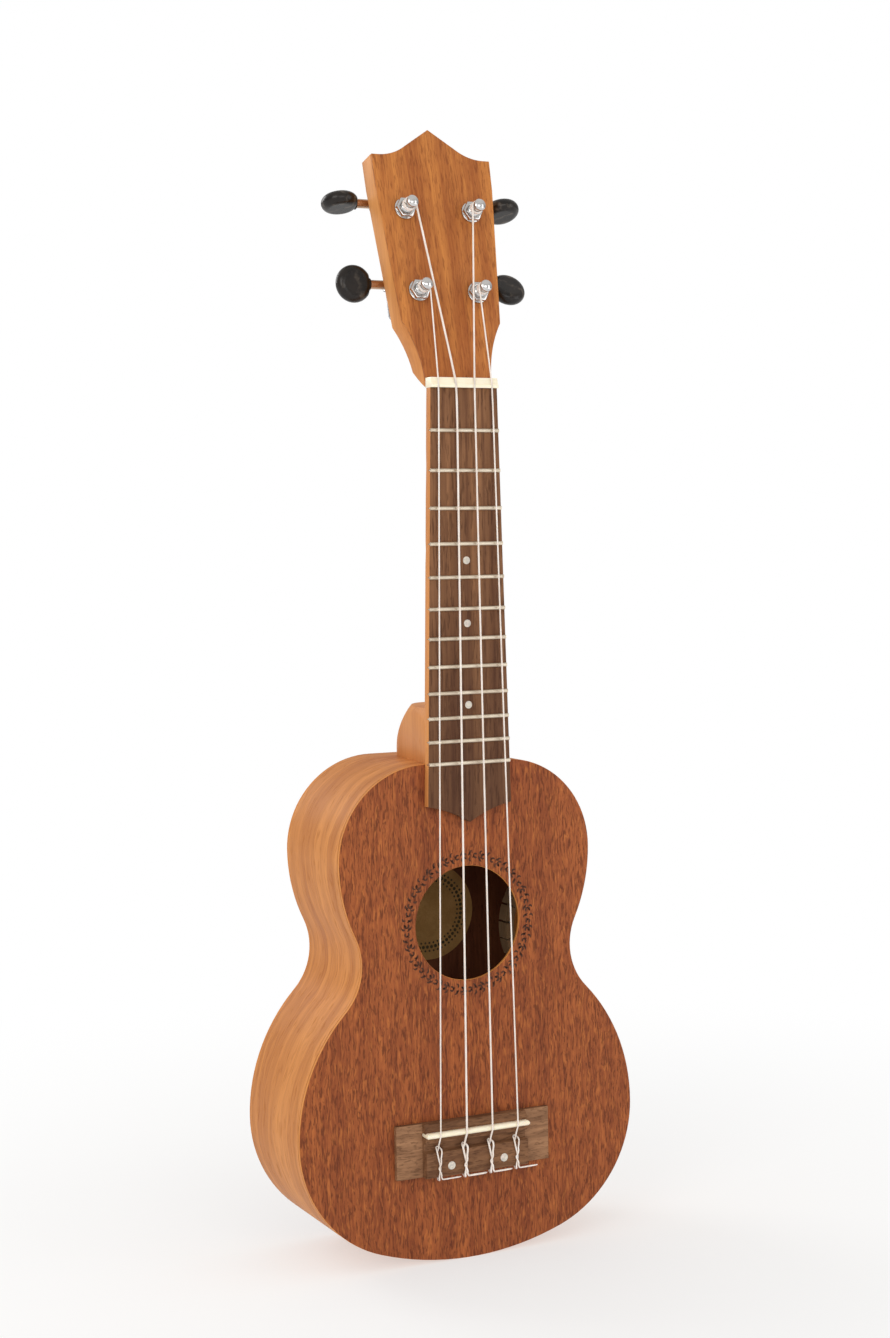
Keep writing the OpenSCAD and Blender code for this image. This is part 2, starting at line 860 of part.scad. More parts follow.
module frets() {
    color([0.80, 0.76, 0.68]) for (n = [1 : fret_count]) fret(n);
}

module nut() {
    color(bone) difference() {
        bar_x(nut_w) polygon([
            [nut_seat, 0], [-nut_h, 0], [-nut_h, 1.2], [-nut_h + 0.6, 2], [-nut_h + 1.4, nut_t],
            [nut_seat, nut_t]
        ]);
        for (i = [0 : 3])
            translate(nut_seat_at(i) - [0, 0, nut_t]) cylinder(h = 2 * nut_t, r = string_r[i] + 0.1);
    }
}

// ---------- Strings ----------

function nut_x(i) = nut_spread * string_at[i];
function wrap_radius(i) = waist_post_r + string_r[i] + 0.04;

// Angles of a string's lead-in round its post, from where it meets the post
lead_angles = [180 : -20 : 0];

// Part of a string round its post, over the coil, ending where it leaves for the nut
function lead_wrap(i) = [
    for (a = lead_angles)
    on_head(post_side[i] * (post_x[i] - wrap_radius(i) * cos(a)), wrap_h, post_s[i] + wrap_radius(i) * sin(a))
];

// Where a string rests on the nut
function nut_seat_at(i) = [nut_x(i), -nut_string_h - string_r[i], nut_rest_z];

// The string over the crest of the saddle
function crest(i) = [
    for (a = [0, 14, 28])
    let (r = saddle_crest_r + string_r[i] + saddle_gap, h = saddle_string_h - saddle_crest_r - saddle_gap)
    [saddle_x(i), -h - r * cos(a), saddle_z - r * sin(a)]
];

// The string through the tie block, round it and hooked under itself
function tie(i) = concat(
    [
        [saddle_x(i), -tie_in_h, channel_bottom_z],
        [saddle_x(i), -tie_out_h, bridge_bottom_z + 0.2]
    ],
    [for (p = tie_route) [saddle_x(i) + p[0], -p[1], saddle_z - p[2]]]
);

function string_path(i) = concat(
    lead_wrap(i),
    [nut_seat_at(i), nut_seat_at(i) - [0, 0, nut_rest_z]],
    crest(i),
    tie(i)
);

module string_g() color(nylon) cord(string_path(0), string_r[0]);

module string_c() color(nylon) cord(string_path(1), string_r[1]);

module string_e() color(nylon) cord(string_path(2), string_r[2]);

module string_a() color(nylon) cord(string_path(3), string_r[3]);

// ---------- Tuners ----------

// Rectangle with round corners from one corner to the other, drawn as [x, s]
module round_box(x0, s0, x1, s1, r) {
    translate([x0 + r, s0]) square([x1 - x0 - 2 * r, s1 - s0]);
    translate([x0, s0 + r]) square([x1 - x0, s1 - s0 - 2 * r]);
    for (x = [x0 + r, x1 - r], s = [s0 + r, s1 - r]) translate([x, s]) circle(r = r, $fn = 32);
}

module housing_plan() {
    round_box(-housing_half, housing_low, housing_half, housing_high, housing_round_r);
}

// Diecast case behind the headstock, with its front sleeve, side collar and screw ear
module tuner_housing(i) {
    color(chrome) at_tuner(i) difference() {
        union() {
            slab(head_t, -housing_back) housing_plan();
            slab(head_t, head_t + ear_t) {
                translate([-ear_half, ear_s]) square([2 * ear_half, -ear_s - 6]);
                translate([0, ear_s]) circle(r = ear_half, $fn = 48);
            }
            pin_y(-sleeve_front, head_t + eps, sleeve_r);
            translate([0, -worm_h, worm_s]) pin_x(housing_half - 1, collar_end, 4, 3.2);
        }
        pin_y(-sleeve_front - eps, head_t, sleeve_bore_r);
        pin_y(head_t - eps, head_t + housing_wall + eps, post_r + running);
        pin_y(head_t + housing_wall, -housing_back + eps, pocket_r);
        translate([-pocket_half, head_t + housing_wall, worm_s - pocket_s])
            cube([2 * pocket_half, -housing_back - head_t, 2 * pocket_s]);
        translate([0, -worm_h, worm_s]) {
            pin_x(-housing_half - eps, 0, journal_r + running);
            pin_x(0, collar_end + eps, shaft_r + running);
        }
        translate([0, 0, ear_s]) pin_y(head_t - eps, head_t + ear_t + eps, screw_r + 0.2);
    }
}

module tuner_housing_1() tuner_housing(0);

module tuner_housing_2() tuner_housing(1);

module tuner_housing_3() tuner_housing(2);

module tuner_housing_4() tuner_housing(3);

module tuner_covers() {
    color(chrome) for (i = [0 : 3]) at_tuner(i)
        slab(-housing_back, -housing_back + cover_t) housing_plan();
}

// Hexagon-headed bushing that screws into the housing's sleeve
module tuner_bushings() {
    color(chrome) for (i = [0 : 3]) at_tuner(i) difference() {
        union() {
            pin_y(-washer_t, -bushing_end, sleeve_bore_r - 0.05);
            translate([0, -washer_t, 0]) rotate([90, 0, 0])
                cylinder(h = hex_h - washer_t, r = hex_flats / 2 / cos(30), $fn = 6);
        }
        pin_y(-hex_h - eps, -bushing_end + eps, post_r + running);
    }
}

module tuner_washers() {
    color(chrome) for (i = [0 : 3]) at_tuner(i) difference() {
        pin_y(-washer_t, 0, washer_r);
        pin_y(-washer_t - eps, eps, sleeve_bore_r);
    }
}

module tuner_screws() {
    color(chrome) for (i = [0 : 3]) at_tuner(i) translate([0, head_t + ear_t, ear_s]) difference() {
        union() {
            pin_y(0, screw_head_h, screw_head_r);
            pin_y(-screw_len, screw_head_h / 2, screw_r);
        }
        translate([-ear_half, screw_head_h / 2, -screw_slot / 2])
            cube([2 * ear_half, screw_head_h, screw_slot]);
    }
}

// Half section of the post: gear seat, flange, shank, string waist and domed cap
module post_section() {
    difference() {
        polygon([
            [0, post_end], [gear_seat_r, post_end], [gear_seat_r, flange_back],
            [flange_r, flange_back], [flange_r, flange_front], [post_r, flange_front],
            [post_r, waist_low - 0.6], [waist_post_r, waist_low],
            [waist_post_r, waist_high], [post_r, waist_high + 0.5], [post_r, post_top], [0, post_top]
        ]);
        difference() {
            translate([0, post_top - cap_h]) square([post_r + 1, 2 * cap_h]);
            translate([0, post_top - cap_r]) circle(r = cap_r);
        }
    }
}

module post(i) {
    color(chrome) at_tuner(i) difference() {
        rotate([90, 0, 0]) rotate_extrude() post_section();
        translate([0, -waist_low - 2 * string_hole_r, 0]) pin_x(-cap_r, cap_r, string_hole_r);
    }
}

module post_1() post(0);

module post_2() post(1);

module post_3() post(2);

module post_4() post(3);

// Post gear: a disc with slanted gaps, so that its teeth follow the worm's thread
module gear(i) {
    color([0.78, 0.62, 0.32]) at_tuner(i) translate([0, -worm_h, 0]) difference() {
        pin_y(-gear_face / 2, gear_face / 2, gear_tip_r);
        pin_y(-gear_face / 2 - eps, gear_face / 2 + eps, gear_seat_r);
        for (k = [0 : gear_teeth - 1]) rotate([0, 360 * k / gear_teeth, 0]) tooth_gap();
    }
}

// Space between two teeth, at the side of the gear that faces the worm
module tooth_gap() {
    rotate([0, 0, lead_angle]) rotate([90, 0, 0])
        linear_extrude(height = gear_face * 2, center = true) polygon([
            [-tooth_gap_root, gear_root_r], [tooth_gap_root, gear_root_r],
            [tooth_gap_tip, gear_tip_r + 0.3], [-tooth_gap_tip, gear_tip_r + 0.3]
        ]);
}

module gear_1() gear(0);

module gear_2() gear(1);

module gear_3() gear(2);

module gear_4() gear(3);

// Radius of the worm's section at a fraction of a turn: root, flank, crest, flank
function thread_r(t) =
    t < 0.3 ? worm_root_r
    : t < 0.5 ? worm_root_r + (worm_tip_r - worm_root_r) * (t - 0.3) / 0.2
    : t < 0.8 ? worm_tip_r
    : worm_tip_r - (worm_tip_r - worm_root_r) * (t - 0.8) / 0.2;

// Worm thread along +X, its crest towards the gear in the middle
module worm() {
    turns = worm_len / worm_lead;
    rotate([0, 90, 0]) rotate(180 * turns - 0.65 * 360)
        linear_extrude(height = worm_len, center = true, twist = 360 * turns,
            slices = round(worm_steps * turns), $fn = worm_steps)
            polygon([
                for (k = [0 : worm_steps - 1])
                let (t = k / worm_steps, r = thread_r(t)) r * [cos(360 * t), sin(360 * t)]
            ]);
}

module worm_shaft(i) {
    color([0.72, 0.62, 0.52]) at_tuner(i) translate([0, -worm_h, worm_s]) {
        worm();
        pin_x(journal_end, -worm_len / 2 + 1, journal_r);
        pin_x(worm_len / 2 - 1, shaft_end, shaft_r);
        pin_x(shaft_end - 1, spigot_end, spigot_r);
    }
}

module worm_shaft_1() worm_shaft(0);

module worm_shaft_2() worm_shaft(1);

module worm_shaft_3() worm_shaft(2);

module worm_shaft_4() worm_shaft(3);

// Oval knob with a full round rim, pressed on the end of the shaft
module knob(i) {
    rim_r = knob_t / 2;
    color([0.12, 0.10, 0.09]) at_tuner(i) translate([0, -worm_h, worm_s]) difference() {
        rotate([knob_turns[i], 0, 0]) union() {
            intersection() {
                translate([knob_x, 0, 0]) rotate([90, 0, 0]) rotate_extrude() {
                    translate([0, -rim_r]) square([knob_r - rim_r, knob_t]);
                    intersection() {
                        translate([knob_r - rim_r, 0]) circle(r = rim_r, $fn = 48);
                        translate([0, -knob_t]) square([2 * knob_r, 2 * knob_t]);
                    }
                }
                translate([knob_inner, -big / 2, -big / 2]) cube([big, big, big]);
            }
            pin_x(shaft_end, knob_inner + 0.5, knob_neck_r);
        }
        pin_x(shaft_end - eps, spigot_end, spigot_r);
    }
}

module knob_1() knob(0);

module knob_2() knob(1);

module knob_3() knob(2);

module knob_4() knob(3);

// Coil of string round a post, below the string's lead-in
module string_winding(i) {
    r = string_r[i];
    pitch = 2 * r + 0.04;
    top = wrap_h - pitch - 0.06;
    steps = 16;
    path = [
        for (k = [0 : round(wraps * steps)])
        let (a = -360 * k / steps)
        [wrap_radius(i) * cos(a), -top + pitch * k / steps, wrap_radius(i) * sin(a)]
    ];
    color(nylon) at_tuner(i) cord(path, r);
}

module string_winding_1() string_winding(0);

module string_winding_2() string_winding(1);

module string_winding_3() string_winding(2);

module string_winding_4() string_winding(3);

soundboard();
back();
rib_bass();
rib_treble();
neck_block();
tail_block();
top_lining_bass();
top_lining_treble();
back_lining_bass();
back_lining_treble();
soundboard_brace_upper();
soundboard_brace_lower();
bridge_patch();
back_brace_upper();
back_brace_lower();
label();
bridge();
saddle();
bridge_bolts();
bridge_nuts();
bridge_dots();
neck();
neck_dowels();
headstock_veneer();
fretboard();
frets();
fret_markers();
nut();
string_g();
string_c();
string_e();
string_a();
tuner_housing_1();
tuner_housing_2();
tuner_housing_3();
tuner_housing_4();
tuner_covers();
tuner_bushings();
tuner_washers();
tuner_screws();
post_1();
post_2();
post_3();
post_4();
gear_1();
gear_2();
gear_3();
gear_4();
string_winding_1();
string_winding_2();
string_winding_3();
string_winding_4();
worm_shaft_1();
worm_shaft_2();
worm_shaft_3();
worm_shaft_4();
knob_1();
knob_2();
knob_3();
knob_4();
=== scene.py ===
"""Soprano ukulele: wood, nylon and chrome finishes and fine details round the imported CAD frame."""

import json
import math

import bmesh
import bpy
from mathutils import Matrix, Vector


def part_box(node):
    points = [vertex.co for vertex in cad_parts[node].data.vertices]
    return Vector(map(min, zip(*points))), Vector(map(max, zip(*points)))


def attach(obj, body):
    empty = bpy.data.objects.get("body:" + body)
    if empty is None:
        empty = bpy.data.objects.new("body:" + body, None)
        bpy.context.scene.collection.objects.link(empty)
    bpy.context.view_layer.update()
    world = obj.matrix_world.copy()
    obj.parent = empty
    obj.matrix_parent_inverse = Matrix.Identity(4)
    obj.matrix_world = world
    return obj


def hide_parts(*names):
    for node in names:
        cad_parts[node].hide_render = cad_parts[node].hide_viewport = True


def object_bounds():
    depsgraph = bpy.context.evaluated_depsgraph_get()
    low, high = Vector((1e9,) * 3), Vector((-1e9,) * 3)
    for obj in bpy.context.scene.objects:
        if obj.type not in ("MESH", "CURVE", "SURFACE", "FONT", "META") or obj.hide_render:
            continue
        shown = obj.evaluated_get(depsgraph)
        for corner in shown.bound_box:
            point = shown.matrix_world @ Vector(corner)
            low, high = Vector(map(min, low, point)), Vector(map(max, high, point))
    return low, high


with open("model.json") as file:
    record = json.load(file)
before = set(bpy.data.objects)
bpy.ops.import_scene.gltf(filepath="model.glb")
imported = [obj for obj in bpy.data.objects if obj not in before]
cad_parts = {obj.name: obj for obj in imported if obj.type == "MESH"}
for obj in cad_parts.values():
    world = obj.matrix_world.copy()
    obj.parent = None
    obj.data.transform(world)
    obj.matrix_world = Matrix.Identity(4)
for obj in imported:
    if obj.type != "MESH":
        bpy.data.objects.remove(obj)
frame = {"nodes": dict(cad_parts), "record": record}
nodes = frame["nodes"]
cad_bounds = [list(corner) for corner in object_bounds()]

MM = 0.001
BODY = "ukulele"
TUNERS = range(1, 5)
HEAD_TILT = math.radians(13.9)
SWIRL_TILT = math.radians(38)
GRAIN_ALONG_Z = "z"
GRAIN_ALONG_X = "x"
GRAIN_AROUND = "around"

# ---------- Node helpers ----------


class Tree:
    """A small wrapper that adds shader nodes to one material and links them."""

    def __init__(self, material):
        material.use_nodes = True
        self.tree = material.node_tree
        self.tree.nodes.clear()
        self.output = self.tree.nodes.new("ShaderNodeOutputMaterial")

    def add(self, kind, links=(), values=(), **settings):
        """A new node with its sockets linked or filled by name or number."""
        node = self.tree.nodes.new(kind)
        for key, value in settings.items():
            setattr(node, key, value)
        for socket, value in dict(values).items():
            node.inputs[socket].default_value = value
        for socket, source in dict(links).items():
            self.tree.links.new(source, node.inputs[socket])
        return node

    def math(self, operation, *values, clamp=False):
        """One math node; each value is a number or another node's output."""
        node = self.add("ShaderNodeMath", operation=operation, use_clamp=clamp)
        for index, value in enumerate(values):
            if isinstance(value, (int, float)):
                node.inputs[index].default_value = value
            else:
                self.tree.links.new(value, node.inputs[index])
        return node.outputs[0]

    def place(self, tilt=0.0):
        """The point's place in the shared frame, turned back by a tilt about X."""
        source = self.add("ShaderNodeTexCoord").outputs["Object"]
        if tilt:
            turn = self.add("ShaderNodeMapping", {"Vector": source}, {"Rotation": (tilt, 0, 0)})
            source = turn.outputs[0]
        return source

    def stretch(self, source, scale, shift=(0, 0, 0)):
        """Coordinates scaled along each axis and then moved."""
        values = {"Scale": scale, "Location": shift}
        return self.add("ShaderNodeMapping", {"Vector": source}, values).outputs[0]

    def noise(self, source, detail=3.0, roughness=0.55, scale=1.0, distortion=0.0):
        values = {"Scale": scale, "Detail": detail, "Roughness": roughness, "Distortion": distortion}
        return self.add("ShaderNodeTexNoise", {"Vector": source}, values).outputs["Fac"]

    def ramp(self, source, low, high):
        """0 below low, 1 above high, smooth between."""
        node = self.add("ShaderNodeMapRange", {"Value": source}, {"From Min": low, "From Max": high})
        node.interpolation_type = "SMOOTHSTEP"
        return node.outputs[0]

    def mix(self, factor, a, b):
        """Colour a where the factor is 0 and b where it is 1; both are colours or outputs."""
        node = self.add("ShaderNodeMix", data_type="RGBA")
        node.clamp_factor = True
        for index, value in ((0, factor), (6, a), (7, b)):
            if isinstance(value, (int, float)):
                node.inputs[index].default_value = value
            elif isinstance(value, tuple):
                node.inputs[index].default_value = (*value, 1.0)
            else:
                self.tree.links.new(value, node.inputs[index])
        return node.outputs[2]

    def bump(self, height, strength, distance):
        """A normal raised by a height, whose full step is a distance in metres."""
        values = {"Strength": strength, "Distance": distance}
        return self.add("ShaderNodeBump", {"Height": height}, values).outputs[0]

    def shader(self, links, values):
        """The surface shader, with varying inputs linked and even ones set."""
        node = self.add("ShaderNodeBsdfPrincipled", links, values)
        self.tree.links.new(node.outputs[0], self.output.inputs["Surface"])
        return node


def new_material(name):
    """A material and the tree that its nodes are added to."""
    material = bpy.data.materials.new(name)
    return material, Tree(material)


def stretched(tree, source, grain, across, along, shift=0.0):
    """Coordinates squeezed across the grain and drawn out along it, in cycles per metre."""
    scale = {
        GRAIN_ALONG_Z: (across, across, along),
        GRAIN_ALONG_X: (along, across, across),
        GRAIN_AROUND: (along, across, along),
    }[grain]
    return tree.stretch(source, scale, (shift, shift * 0.7, shift * 1.3))


def wood(name, dark, light, pore, grain=GRAIN_ALONG_Z, tilt=0.0, stripe=60, stripe_length=3,
         stripe_mix=0.6, fibre=900, fibre_length=22, pores=900, pore_length=150, pore_share=0.42,
         pore_mix=0.6, vein_mix=0.15, figure=0.15, waver=0.003, rough=0.5, shift=0.0,
         rays=0.0, ray_colour=(0.5, 0.2, 0.06), painted_shade=None):
    """Wood with broad stripes, fine fibres, dark pores, bright rays and a mottled figure.

    The pairs such as stripe and stripe_length are cycles per metre across the grain and along it,
    waver is how far the grain sways in metres, and the last argument, (low, high, depth), is painted
    shade: it mixes in the pore colour from nothing at the height high to depth at the height low.
    """
    material, tree = new_material(name)
    spot = tree.place(tilt)
    slow = {"Vector": stretched(tree, spot, grain, 28, 9, shift)}
    sway = tree.add("ShaderNodeTexNoise", slow, {"Detail": 2.0}).outputs["Color"]
    half = {1: (0.5, 0.5, 0.5)}
    centred = tree.add("ShaderNodeVectorMath", {0: sway}, half, operation="SUBTRACT").outputs[0]
    offset = tree.add("ShaderNodeVectorMath", {0: centred}, {"Scale": waver}, operation="SCALE")
    moved = tree.add("ShaderNodeVectorMath", {0: spot, 1: offset.outputs[0]}, operation="ADD").outputs[0]

    stripes = tree.noise(stretched(tree, moved, grain, stripe, stripe_length, shift), 2.5)
    fibres = tree.noise(stretched(tree, moved, grain, fibre, fibre_length, shift), 3.0, 0.6)
    blotch = tree.noise(stretched(tree, moved, grain, 190, 70, shift), 2.0)
    holes = tree.noise(stretched(tree, moved, grain, pores, pore_length, shift + 3), 2.0, 0.6)
    pits = tree.ramp(holes, 1 - pore_share, 1 - pore_share + 0.13)
    broad = stretched(tree, moved, grain, pores * 0.45, pore_length * 0.35, shift + 6)
    streaks = tree.noise(broad, 2.0, 0.6)
    veins = tree.math("MULTIPLY", tree.ramp(streaks, 0.48, 0.66), vein_mix)

    tone = tree.math("MULTIPLY", tree.ramp(stripes, 0.34, 0.66), stripe_mix)
    tone = tree.math("ADD", tone, tree.math("MULTIPLY", tree.ramp(fibres, 0.25, 0.75), 1 - stripe_mix))
    tone = tree.math("ADD", tone, tree.math("MULTIPLY", tree.math("SUBTRACT", blotch, 0.5), figure * 4))
    colour = tree.mix(tone, dark, light)
    if rays:
        short = stretched(tree, moved, grain, pores * 0.6, pore_length * 0.7, shift + 8)
        glints = tree.noise(short, 2.0, 0.5)
        bright = tree.math("MULTIPLY", tree.ramp(glints, 0.52, 0.70), rays)
        colour = tree.mix(bright, colour, ray_colour)
    colour = tree.mix(veins, colour, dark)
    colour = tree.mix(tree.math("MULTIPLY", pits, pore_mix), colour, pore)
    # Painted shade: the colour darkens towards the pore colour lower down the piece
    if painted_shade:
        low, high, depth = painted_shade
        height_z = tree.add("ShaderNodeSeparateXYZ", {0: spot}).outputs["Z"]
        down = tree.math("MULTIPLY", tree.ramp(tree.math("MULTIPLY", height_z, -1.0), -high, -low), depth)
        colour = tree.mix(down, colour, pore)

    height = tree.math("SUBTRACT", tree.math("MULTIPLY", fibres, 0.35), pits)
    gloss = tree.math("ADD", tree.math("MULTIPLY", fibres, 0.12), rough - 0.06)
    gloss = tree.math("ADD", gloss, tree.math("MULTIPLY", pits, 0.15), clamp=True)
    tree.shader(
        {"Base Color": colour, "Roughness": gloss, "Normal": tree.bump(height, 0.35, 0.0002)},
        {"Specular IOR Level": 0.2},
    )
    return material


def metal(name, colour, rough, dull=None):
    """Plated or bare metal in a bright and a dull tone, with faint smears and fine scratches."""
    material, tree = new_material(name)
    spot = tree.place()
    smear = tree.noise(tree.stretch(spot, (160, 160, 160)), 3.0)
    lines = tree.noise(tree.stretch(spot, (2600, 900, 420)), 2.0)
    tint = tree.mix(tree.ramp(smear, 0.35, 0.7), colour, dull or tuple(c * 0.86 for c in colour))
    shine = tree.math("ADD", tree.math("MULTIPLY", smear, 0.06), rough)
    shine = tree.math("ADD", shine, tree.math("MULTIPLY", lines, 0.03), clamp=True)
    tree.shader(
        {"Base Color": tint, "Roughness": shine, "Normal": tree.bump(lines, 0.12, 0.00004)},
        {"Metallic": 1.0},
    )
    return material


def bone(name, colour, stain):
    """Cream plastic that imitates bone: fine streaks and a soft polish."""
    material, tree = new_material(name)
    spot = tree.place()
    streak = tree.noise(tree.stretch(spot, (90, 900, 900)), 4.0)
    cloud = tree.noise(tree.stretch(spot, (260, 260, 260)), 2.0)
    tone = tree.math("MULTIPLY", tree.ramp(streak, 0.4, 0.8), 0.6)
    tone = tree.math("ADD", tone, tree.math("MULTIPLY", tree.ramp(cloud, 0.4, 0.8), 0.3))
    shine = tree.math("ADD", tree.math("MULTIPLY", streak, 0.1), 0.26)
    tree.shader(
        {"Base Color": tree.mix(tone, colour, stain), "Roughness": shine,
         "Normal": tree.bump(streak, 0.1, 0.00005)},
        {"Subsurface Weight": 0.12, "Subsurface Radius": (0.0015, 0.001, 0.0006), "Subsurface Scale": 1.0},
    )
    return material


def pearl(name):
    """Mother-of-pearl: clouded bands of cream, grey and faint rose."""
    material, tree = new_material(name)
    spot = tree.place()
    cloud = tree.noise(tree.stretch(spot, (420, 420, 420)), 3.0, distortion=1.2)
    band = tree.noise(tree.stretch(spot, (900, 900, 260), (2, 1, 4)), 2.0, distortion=0.8)
    colour = tree.mix(tree.ramp(cloud, 0.35, 0.65), (0.73, 0.66, 0.54), (0.50, 0.47, 0.42))
    colour = tree.mix(tree.math("MULTIPLY", tree.ramp(band, 0.5, 0.75), 0.5), colour, (0.80, 0.62, 0.56))
    shine = tree.math("ADD", tree.math("MULTIPLY", cloud, 0.12), 0.16)
    tree.shader(
        {"Base Color": colour, "Roughness": shine, "Normal": tree.bump(band, 0.08, 0.00005)},
        {"Coat Weight": 0.5, "Coat Roughness": 0.08},
    )
    return material


def knob_plastic(name):
    """Dark moulded plastic with pale swirled streaks under a polish."""
    material, tree = new_material(name)
    spot = tree.place(SWIRL_TILT)
    swirl = tree.add(
        "ShaderNodeTexWave", {"Vector": spot},
        {"Scale": 62.0, "Distortion": 7.5, "Detail": 3.0, "Detail Scale": 1.4, "Detail Roughness": 0.6},
        wave_type="BANDS", bands_direction="DIAGONAL",
    ).outputs["Fac"]
    cloud = tree.noise(tree.stretch(spot, (180, 180, 180)), 3.0)
    streak = tree.math("MULTIPLY", tree.ramp(swirl, 0.72, 1.0), tree.ramp(cloud, 0.40, 0.66))
    colour = tree.mix(tree.ramp(cloud, 0.3, 0.7), (0.005, 0.003, 0.002), (0.014, 0.009, 0.006))
    colour = tree.mix(tree.math("MULTIPLY", streak, 0.6), colour, (0.13, 0.105, 0.08))
    shine = tree.math("ADD", tree.math("MULTIPLY", cloud, 0.14), 0.22)
    tree.shader(
        {"Base Color": colour, "Roughness": shine, "Normal": tree.bump(cloud, 0.12, 0.0002)},
        {"Specular IOR Level": 0.35},
    )
    return material


def nylon(name):
    """Milky nylon string with a faint variation along its length."""
    material, tree = new_material(name)
    spot = tree.place()
    cloud = tree.noise(tree.stretch(spot, (300, 300, 120)), 2.0)
    fine = tree.noise(tree.stretch(spot, (2500, 2500, 900)), 2.0)
    colour = tree.mix(tree.ramp(cloud, 0.3, 0.7), (0.90, 0.82, 0.76), (0.80, 0.70, 0.62))
    shine = tree.math("ADD", tree.math("MULTIPLY", fine, 0.1), 0.24)
    tree.shader(
        {"Base Color": colour, "Roughness": shine, "Normal": tree.bump(fine, 0.06, 0.00003)},
        {"Subsurface Weight": 0.25, "Subsurface Radius": (0.0008, 0.0007, 0.0006), "Subsurface Scale": 1.0},
    )
    return material


def paper(name, colour, stain, rough=0.85):
    """Matte paper or print with fibres and faint blotches."""
    material, tree = new_material(name)
    spot = tree.place()
    fibre = tree.noise(tree.stretch(spot, (1400, 1400, 1400)), 3.0)
    blotch = tree.noise(tree.stretch(spot, (90, 90, 90)), 3.0)
    tone = tree.math("ADD", tree.math("MULTIPLY", fibre, 0.35), tree.math("MULTIPLY", blotch, 0.65))
    shine = tree.math("ADD", tree.math("MULTIPLY", fibre, 0.1), rough)
    tree.shader(
        {"Base Color": tree.mix(tree.ramp(tone, 0.3, 0.7), colour, stain), "Roughness": shine,
         "Normal": tree.bump(fibre, 0.2, 0.00008)},
        {"Specular IOR Level": 0.2},
    )
    return material


# ---------- Materials ----------

BRIDGE_GRAIN = dict(
    grain=GRAIN_ALONG_X, stripe=260, stripe_length=30, stripe_mix=0.5, fibre=900, fibre_length=50,
    pores=1300, pore_length=260, pore_share=0.48, pore_mix=0.5, waver=0.005, rough=0.6, shift=4.0,
)
MATERIALS = {
    "mahogany": wood(
        "mahogany", (0.180, 0.040, 0.012), (0.400, 0.112, 0.030), (0.070, 0.016, 0.007),
        stripe=95, stripe_length=3, stripe_mix=0.42, fibre=950, fibre_length=24, pores=1500,
        pore_length=190, pore_share=0.50, pore_mix=0.62, vein_mix=0.5, figure=0.16, waver=0.005,
        rough=0.55, rays=0.5, ray_colour=(0.52, 0.165, 0.038),
    ),
    "side_wood": wood(
        "side_wood", (0.44, 0.148, 0.032), (0.70, 0.285, 0.072), (0.36, 0.118, 0.031),
        grain=GRAIN_AROUND, stripe=130, stripe_length=4, stripe_mix=0.6, fibre=800, fibre_length=14,
        pores=900, pore_length=90, pore_share=0.46, pore_mix=0.4, vein_mix=0.25, figure=0.09,
        waver=0.008, rough=0.5,
    ),
    "neck_wood": wood(
        "neck_wood", (0.53, 0.195, 0.050), (0.73, 0.315, 0.095), (0.45, 0.165, 0.046),
        stripe=60, stripe_length=4, fibre=700, pores=800, pore_length=90, pore_share=0.38, pore_mix=0.3,
        figure=0.06, rough=0.5, shift=5.0,
    ),
    "inner_wood": wood(
        "inner_wood", (0.30, 0.14, 0.06), (0.40, 0.21, 0.10), (0.22, 0.10, 0.05), rough=0.75, shift=9.0,
    ),
    "lining_wood": wood(
        "lining_wood", (0.42, 0.27, 0.14), (0.56, 0.39, 0.22), (0.32, 0.20, 0.10),
        grain=GRAIN_AROUND, rough=0.75, shift=2.0,
    ),
    "brace_wood": wood(
        "brace_wood", (0.46, 0.30, 0.16), (0.60, 0.42, 0.24), (0.36, 0.22, 0.11),
        grain=GRAIN_ALONG_X, rough=0.75, shift=7.0,
    ),
    "bridge_wood": wood(
        "bridge_wood", (0.170, 0.078, 0.036), (0.390, 0.200, 0.100), (0.090, 0.038, 0.019),
        **BRIDGE_GRAIN,
    ),
    "board_wood": wood(
        "board_wood", (0.100, 0.036, 0.015), (0.300, 0.138, 0.060), (0.045, 0.016, 0.008),
        stripe=200, stripe_length=3, stripe_mix=0.66, fibre=900, pores=1200, pore_length=110,
        pore_share=0.48, pore_mix=0.5, figure=0.08, waver=0.001, rough=0.58, shift=6.0,
        # Painted shade: the fretboard darkens towards the body end
        painted_shade=(-0.20, -0.03, 0.5),
    ),
    "head_wood": wood(
        "head_wood", (0.31, 0.084, 0.020), (0.70, 0.272, 0.062), (0.18, 0.044, 0.012),
        tilt=HEAD_TILT, stripe=85, stripe_length=3, stripe_mix=0.68, fibre=1200, fibre_length=20,
        pores=1300, pore_length=150, pore_share=0.48, pore_mix=0.5, vein_mix=0.3, figure=0.05,
        waver=0.002, rough=0.5, shift=1.0,
    ),
    "paper": paper("paper", (0.54, 0.30, 0.105), (0.38, 0.20, 0.062)),
    "bone": bone("bone", (0.95, 0.87, 0.68), (0.88, 0.74, 0.50)),
    "pearl": pearl("pearl"),
    "fret_metal": metal("fret_metal", (0.78, 0.68, 0.54), 0.30, (0.62, 0.52, 0.40)),
    "steel": metal("steel", (0.50, 0.50, 0.51), 0.35),
    "nylon": nylon("nylon"),
    "tuner_case": metal("tuner_case", (0.62, 0.62, 0.63), 0.20, (0.50, 0.50, 0.51)),
    "tuner_chrome": metal("tuner_chrome", (0.66, 0.65, 0.64), 0.13, (0.56, 0.55, 0.54)),
    "gear_brass": metal("gear_brass", (0.62, 0.43, 0.18), 0.28),
    "shaft_metal": metal("shaft_metal", (0.52, 0.36, 0.25), 0.22, (0.40, 0.26, 0.17)),
    "knob_plastic": knob_plastic("knob_plastic"),
}
BLOCK_WOOD = wood(
    "bridge_block_wood", (0.110, 0.045, 0.019), (0.250, 0.118, 0.054), (0.050, 0.019, 0.009),
    **BRIDGE_GRAIN,
)
